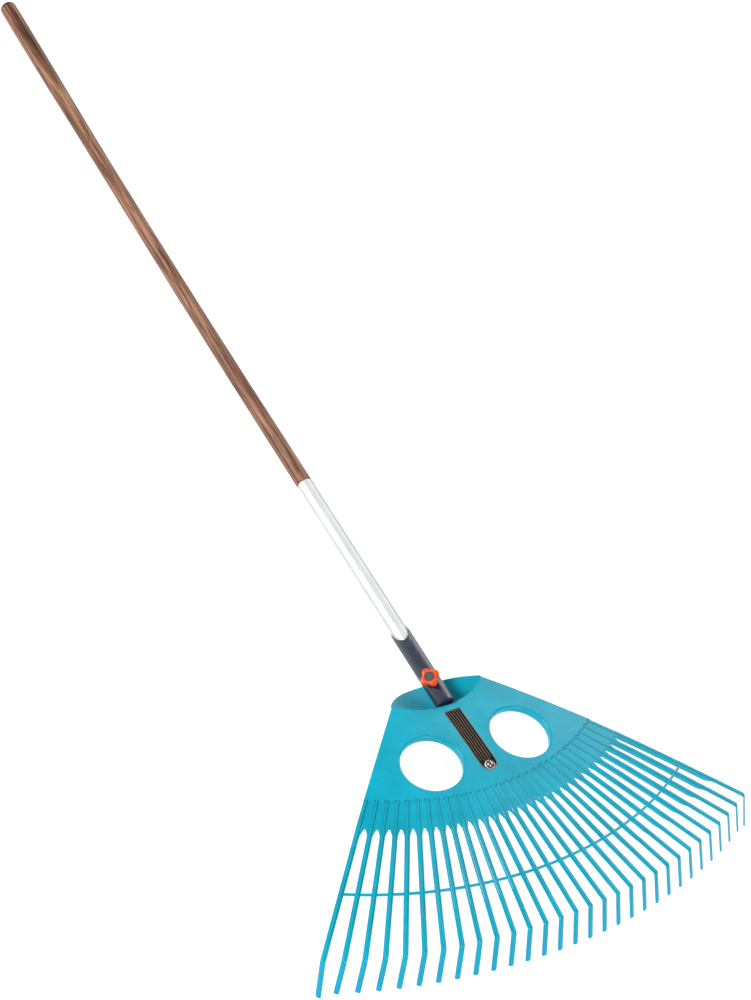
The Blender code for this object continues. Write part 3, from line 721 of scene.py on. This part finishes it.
# the tops of the tongue's rim and ribs are rubbed, and its well is black
for face in sleeve.faces:
    centre = face.calc_center_median()
    if centre.y < TONGUE_START:
        raised = centre.z - skin_height(0.0, centre.y) > -0.0004
        face.material_index = 1 if raised and face.normal.z > 0.9 else 2
bmesh.ops.transform(sleeve, matrix=lie_down, verts=sleeve.verts)
slate = plastic("slate_plastic", (0.026, 0.034, 0.050), 0.20, (0.9, 0.92, 0.95), 0.05, 0.5)
well_black = plastic("tongue_plastic", (0.006, 0.006, 0.007), 0.55, (0.9, 0.9, 0.9), 0.07)
rubbed = plastic("rubbed_plastic", (0.22, 0.150, 0.105), 0.45, (0.8, 0.8, 0.8), 0.10)
add_piece("adapter_moulding", sleeve, [slate, rubbed, well_black], "head",
          ["adapter"], 15.0)


# ==== Clamp knob ====
# A four-lobed hand knob in bright orange plastic, moulded round a steel stud. A dark
# disc is pressed into its top.

KNOB_BASE = 0.0188
KNOB_PHASE = math.radians(4.0)
KNOB_WAIST = 0.0112
LOBE_HEIGHT = 0.0043
knob = bmesh.new()
rings = []
for height, inset in ((0.0, 0.0016), (0.0004, 0.0007), (0.0012, 0.0001), (0.0030, 0.0),
                      (0.0056, 0.0001), (0.0068, 0.0005), (0.0076, 0.0013),
                      (0.0080, 0.0026), (0.0081, 0.0040)):
    ring = []
    for number in range(120):
        turn = 2.0 * math.pi * number / 120
        swell = 0.5 + 0.5 * math.cos(4.0 * (turn - KNOB_PHASE))
        radius = KNOB_WAIST + LOBE_HEIGHT * swell ** 0.85 - inset
        ring.append(knob_seat @ Vector((radius * math.cos(turn), radius * math.sin(turn),
                                        KNOB_BASE + height)))
    rings.append(ring)
extrude_through(knob, rings)
seat_cut = turned(knob_seat, [(0.0, KNOB_BASE + 0.0060), (0.0077, KNOB_BASE + 0.0060),
                              (0.0077, KNOB_BASE + 0.0120), (0.0, KNOB_BASE + 0.0120)], 64)
knob = join_or_cut(knob, seat_cut, "DIFFERENCE")
bmesh.ops.transform(knob, matrix=lie_down, verts=knob.verts)
orange = plastic("orange_plastic", (0.68, 0.072, 0.010), 0.27, (0.95, 0.8, 0.8), 0.03)
add_piece("knob_body", knob, [orange], "clamp_knob", ["clamp_knob"], 40.0)

disc = turned(knob_seat, [(0.0, KNOB_BASE + 0.0063), (0.0074, KNOB_BASE + 0.0063),
                          (0.0074, KNOB_BASE + 0.0080), (0.0071, KNOB_BASE + 0.0084),
                          (0.0066, KNOB_BASE + 0.0086), (0.0063, KNOB_BASE + 0.0082),
                          (0.0, KNOB_BASE + 0.0083)], 64)
bmesh.ops.transform(disc, matrix=lie_down, verts=disc.verts)
cap_grey = plastic("cap_plastic", (0.045, 0.056, 0.070), 0.42, (0.9, 0.9, 0.9), 0.10)
add_piece("knob_disc", disc, [cap_grey], "clamp_knob", ["knob_cap"])


# ==== Steel fittings ====
# The knob's stud, and the pan-head screw, washer and nut that hold the tongue in its
# bed. All are zinc-plated steel; a small plastic pad sits between stud and tube, and a
# plastic plug closes the tube.

def metal(name, colour, roughness, stretch, dirt_and_shade=0.0, purity=1.0):
    """Drawn or plated metal with fine lines along one way and faint clouding."""
    finish = bpy.data.materials.new(name)
    finish.use_nodes = True
    tree = finish.node_tree
    shader = tree.nodes["Principled BSDF"]
    shader.inputs["Metallic"].default_value = purity
    place = tree.nodes.new("ShaderNodeTexCoord").outputs["Object"]
    fit = tree.nodes.new("ShaderNodeMapping")
    fit.inputs["Scale"].default_value = stretch
    tree.links.new(place, fit.inputs["Vector"])
    lines = noise(tree, fit.outputs["Vector"], 900.0, 4.0)
    # dims the cloudy tone: random dirt on the steel, and part of the painted shade in the tube's
    # grooves
    dim = [c * (0.93 - dirt_and_shade) for c in colour]
    tone = colour_stops(tree, noise(tree, place, 30.0, 6.0), [(0.25, dim), (0.70, colour)])
    tree.links.new(tone, shader.inputs["Base Color"])
    uneven_gloss(tree, lines, roughness - 0.05, roughness + 0.08)
    relief(tree, lines, 0.04, 0.0002)
    return finish


steel = metal("zinc_steel", (0.52, 0.47, 0.42), 0.30, (1.0, 1.0, 1.0), 0.25)
for node, finish in (("clamp_stud", steel), ("screw_nut", steel),
                     ("pressure_pad", slate), ("tube_plug", slate)):
    dress(node, finish)

screw = turned(skin_at_screw, [
    (0.0, -0.0150), (0.0018, -0.0150), (0.0021, -0.0146), (0.0021, -0.0005),
    (0.0046, -0.0005), (0.0049, 0.0000), (0.0049, 0.0008), (0.0044, 0.0018),
    (0.0034, 0.0026), (0.0020, 0.0030), (0.0, 0.0031)], 48)
for wide, deep in ((0.0021, 0.0006), (0.0006, 0.0021)):
    cross = bmesh.new()
    extrude_through(cross, [[skin_at_screw @ Vector((x * wide, y * deep, height))
                             for x, y in ((-1, -1), (1, -1), (1, 1), (-1, 1))]
                            for height in (0.0012, 0.0050)])
    screw = join_or_cut(screw, cross, "DIFFERENCE")
bmesh.ops.transform(screw, matrix=lie_down, verts=screw.verts)
add_piece("tongue_screw_head", screw, [steel], "head", ["tongue_screw"])

washer = turned(skin_at_screw, [(0.0056, -0.0011), (0.0078, -0.0011), (0.0080, -0.0008),
                                (0.0080, -0.0002), (0.0077, 0.0001), (0.0066, 0.0002),
                                (0.0058, -0.0002)], 64)
bmesh.ops.transform(washer, matrix=lie_down, verts=washer.verts)
add_piece("tongue_washer", washer, [steel], "head", ["screw_washer"])


# ==== Aluminium tube ====
# Drawn tube, satin anodised, with three fine grooves drawn along its upper side; the grooves'
# faces take a darker finish as painted shade. It slides in the sleeve and holds the wood's
# spigot.

TUBE_RADIUS = 0.0128
TUBE_BORE = 0.0116
GROOVE_FLOOR = 0.01258
alloy = metal("satin_aluminium", (0.57, 0.58, 0.59), 0.42, (1.0, 0.02, 1.0), purity=0.2)
# painted shade: a darker alloy for the groove faces
painted_groove_shade = metal("painted_groove_shade_aluminium", (0.36, 0.37, 0.38), 0.55, (1.0, 0.02, 1.0), 0.15, 0.2)
tube_seat = seat_matrix(sideways, upright, -along, axis_start)
tube = turned(tube_seat, [
    (TUBE_RADIUS, 0.0997), (0.0125, 0.1000), (0.0119, 0.1000), (TUBE_BORE, 0.0997),
    (TUBE_BORE, -0.3277), (0.0119, -0.3280), (0.0125, -0.3280), (TUBE_RADIUS, -0.3277),
    (TUBE_RADIUS, -0.2200), (TUBE_RADIUS, -0.1200), (TUBE_RADIUS, -0.0200)], 96)
for turn, wide in ((0.0, 0.0005), (52.0, 0.0010), (-52.0, 0.0007)):
    groove = bmesh.new()
    roll = bore_seat @ Matrix.Rotation(math.radians(turn), 4, "Z")
    extrude_through(groove, [[roll @ Vector((x * wide, y, s)) for x, y in (
        (-1.0, GROOVE_FLOOR), (1.0, GROOVE_FLOOR), (1.2, 0.0140), (-1.2, 0.0140))]
        for s in (-0.110, 0.340)])
    tube = join_or_cut(tube, groove, "DIFFERENCE")
# the faces between the bore and the outer skin, away from the ends, line the grooves and take the
# darker finish as painted shade
for face in tube.faces:
    spot = bore_seat.inverted() @ face.calc_center_median()
    if 0.0122 < spot.xy.length < 0.01276 and -0.099 < spot.z < 0.327:
        face.material_index = 1
bmesh.ops.transform(tube, matrix=lie_down, verts=tube.verts)
add_piece("handle_tube", tube, [alloy, painted_groove_shade], "handle", ["aluminium_tube"])


# ==== Wooden handle ====
# Long turned handle, waisted and gently bowed, stained brown and oiled. Its grain
# runs along it. A thin dark cap closes its end.

WOOD_START = 0.3283
WOOD_END = 1.4495
WAIST_AT = 1.05
WAIST_RADIUS = 0.0121
BOW_FROM = 0.550
BOW_HEIGHT = 0.0214
SPIGOT_RADIUS = 0.0113


def axis_point(distance):
    """Centre of the handle; its upper half bows gently."""
    spot = axis_start + along * distance
    if spot.y > BOW_FROM:
        spot.z += BOW_HEIGHT * ((spot.y - BOW_FROM) / 0.856) ** 1.6
    return spot


def wood_radius(distance):
    """The wood narrows to a waist and swells again towards its end."""
    if distance < WAIST_AT:
        share = (distance - 0.328) / 0.722
        return 0.01275 - 0.00065 * math.sin(share * math.pi / 2.0)
    share = min(1.0, (distance - WAIST_AT) / 0.33)
    return WAIST_RADIUS + 0.0010 * (1.0 - math.cos(share * math.pi))


def long_rings(stations, count):
    """Rings square to the bowed handle: (distance, radius) pairs."""
    rings = []
    for distance, radius in stations:
        way = (axis_point(distance + 0.002) - axis_point(distance - 0.002)).normalized()
        seat = seat_matrix(sideways, way.cross(sideways), way, axis_point(distance))
        rings.append(ring_of(seat, radius, 0.0, count))
    return rings


stations = [(0.2880, 0.0103), (0.2890, SPIGOT_RADIUS), (WOOD_START, SPIGOT_RADIUS),
            (WOOD_START, 0.0118), (WOOD_START + 0.0003, 0.0124), (WOOD_START + 0.0010, 0.01275)]
stations += [(WOOD_START + 0.001 + (WOOD_END - WOOD_START - 0.0045) * n / 100,
              wood_radius(WOOD_START + (WOOD_END - WOOD_START) * n / 100)) for n in range(1, 101)]
butt = wood_radius(WOOD_END)
stations += [(WOOD_END - 0.0012, butt), (WOOD_END - 0.0003, butt - 0.0001),
             (WOOD_END, butt - 0.0004)]
shaft = bmesh.new()
grain_layer = shaft.verts.layers.float_vector.new("grain")
extrude_through(shaft, long_rings(stations, 64))
for corner in shaft.verts:
    distance = max(0.0, min(1.45, (corner.co - axis_start).dot(along)))
    offset = corner.co - axis_point(distance)
    corner[grain_layer] = (offset.dot(sideways), offset.dot(upright), distance)
bmesh.ops.transform(shaft, matrix=lie_down, verts=shaft.verts)

wood = bpy.data.materials.new("oiled_wood")
wood.use_nodes = True
tree = wood.node_tree
shader = tree.nodes["Principled BSDF"]
shader.inputs["Specular IOR Level"].default_value = 0.30
place = tree.nodes.new("ShaderNodeAttribute")
place.attribute_name = "grain"


def along_grain(scale, detail, rough=0.6, distort=0.0):
    """Noise drawn out along the handle."""
    fit = tree.nodes.new("ShaderNodeMapping")
    fit.inputs["Scale"].default_value = scale
    tree.links.new(place.outputs["Vector"], fit.inputs["Vector"])
    return noise(tree, fit.outputs["Vector"], 1.0, detail, rough, distort)


broad = along_grain((110.0, 110.0, 4.5), 4.0, 0.60, 0.5)
fine = along_grain((250.0, 250.0, 12.0), 5.0, 0.62, 0.3)
pores = along_grain((1500.0, 1500.0, 34.0), 3.0)
tone = colour_stops(tree, broad, [(0.36, (0.095, 0.036, 0.018)), (0.50, (0.205, 0.088, 0.046)),
                                  (0.64, (0.310, 0.165, 0.095))])
streak = colour_stops(tree, fine, [(0.41, (0.27, 0.24, 0.23)), (0.50, (0.92, 0.90, 0.88)),
                                   (0.60, (1.0, 1.0, 1.0))])
pits = colour_stops(tree, pores, [(0.34, (0.45, 0.40, 0.38)), (0.44, (1.0, 1.0, 1.0))])
tone = blended(tree, tone, streak, 0.85, "MULTIPLY")
tone = blended(tree, tone, pits, 0.55, "MULTIPLY")
tree.links.new(tone, shader.inputs["Base Color"])
uneven_gloss(tree, fine, 0.58, 0.42)
relief(tree, pores, 0.25, 0.0003)
add_piece("handle_shaft", shaft, [wood], "handle", ["wooden_handle"], 40.0)

CAP_HEIGHT = 0.0093
cap = bmesh.new()
dome = [(WOOD_END + 0.0002, butt - 0.0004), (WOOD_END + 0.0005, butt - 0.0001)]
dome += [(WOOD_END + 0.0005 + CAP_HEIGHT * math.sin(math.radians(angle)),
          (butt - 0.0001) * math.cos(math.radians(angle))) for angle in range(8, 88, 8)]
extrude_through(cap, long_rings(dome, 64))
bmesh.ops.transform(cap, matrix=lie_down, verts=cap.verts)
add_piece("handle_cap", cap, [slate], "handle", ["handle_end_cap"], 40.0)


# ==== Floor, lights and camera ====
# A pale, faintly glowing sweep of floor, a large soft key from the back left, a softer
# light in front, a small glint and a surround that is bright only at the back right.

floor = bmesh.new()
bmesh.ops.create_grid(floor, x_segments=2, y_segments=2, size=30.0)
bmesh.ops.translate(floor, verts=floor.verts, vec=(0.0, 0.0, -0.0003))
sheet = bpy.data.meshes.new("floor")
floor.to_mesh(sheet)
floor.free()
ground = bpy.data.objects.new("floor", sheet)
bpy.context.scene.collection.objects.link(ground)
pale = bpy.data.materials.new("pale_floor")
pale.use_nodes = True
paint = pale.node_tree.nodes["Principled BSDF"]
paint.inputs["Base Color"].default_value = (0.30, 0.30, 0.30, 1.0)
paint.inputs["Roughness"].default_value = 0.9
paint.inputs["Specular IOR Level"].default_value = 0.1
paint.inputs["Emission Color"].default_value = (1.0, 1.0, 1.0, 1.0)
paint.inputs["Emission Strength"].default_value = 0.90
ground.data.materials.append(pale)

world = bpy.data.worlds.new("surround")
world.use_nodes = True
nodes, links = world.node_tree.nodes, world.node_tree.links
background = nodes["Background"]
ways = nodes.new("ShaderNodeTexCoord")
lean = nodes.new("ShaderNodeVectorMath")
lean.operation = "DOT_PRODUCT"
lean.inputs[1].default_value = (0.82, 0.40, 0.41)
links.new(ways.outputs["Generated"], lean.inputs[0])
background.inputs["Color"].default_value = (1.0, 1.0, 1.0, 1.0)
shade = nodes.new("ShaderNodeMapRange")
shade.interpolation_type = "SMOOTHSTEP"
shade.inputs["From Min"].default_value = 0.86
shade.inputs["From Max"].default_value = 1.0
shade.inputs["To Min"].default_value = 0.10
shade.inputs["To Max"].default_value = 3.8
links.new(lean.outputs["Value"], shade.inputs["Value"])
links.new(shade.outputs["Result"], background.inputs["Strength"])
bpy.context.scene.world = world

lit_spot = Vector((0.0, -0.35, 0.0))


def soft_light(name, way, distance, size, power):
    """A square area light that looks at the head."""
    lamp = bpy.data.lights.new(name, "AREA")
    lamp.size = size
    lamp.energy = power
    holder = bpy.data.objects.new(name, lamp)
    holder.location = lit_spot + Vector(way).normalized() * distance
    holder.rotation_mode = "QUATERNION"
    holder.rotation_quaternion = (lit_spot - holder.location).to_track_quat("-Z", "Y")
    bpy.context.scene.collection.objects.link(holder)


soft_light("key", (-0.70, 0.42, 0.58), 4.0, 1.2, 205.0)
soft_light("front", (-0.10, -0.85, 0.50), 4.0, 1.6, 125.0)
soft_light("glint", (0.44, 0.46, 0.77), 3.0, 0.22, 3.2)

view_right = Vector((0.841, -0.4730, 0.2628))
view_up = Vector((0.245, 0.7647, 0.5952))
view_back = Vector((-0.483, -0.4366, 0.7589))

lens = bpy.data.cameras.new("camera")
lens.lens = 85.75
lens.sensor_width = 36.0
lens.clip_start, lens.clip_end = 0.05, 60.0
camera = bpy.data.objects.new("camera", lens)
camera.rotation_mode = "QUATERNION"
camera.rotation_quaternion = Matrix((view_right, view_up, view_back)).transposed().to_quaternion()
camera.location = (-1.7042, -1.829555, 2.869105)
bpy.context.scene.collection.objects.link(camera)
bpy.context.scene.camera = camera
bpy.context.scene.view_settings.view_transform = "Standard"
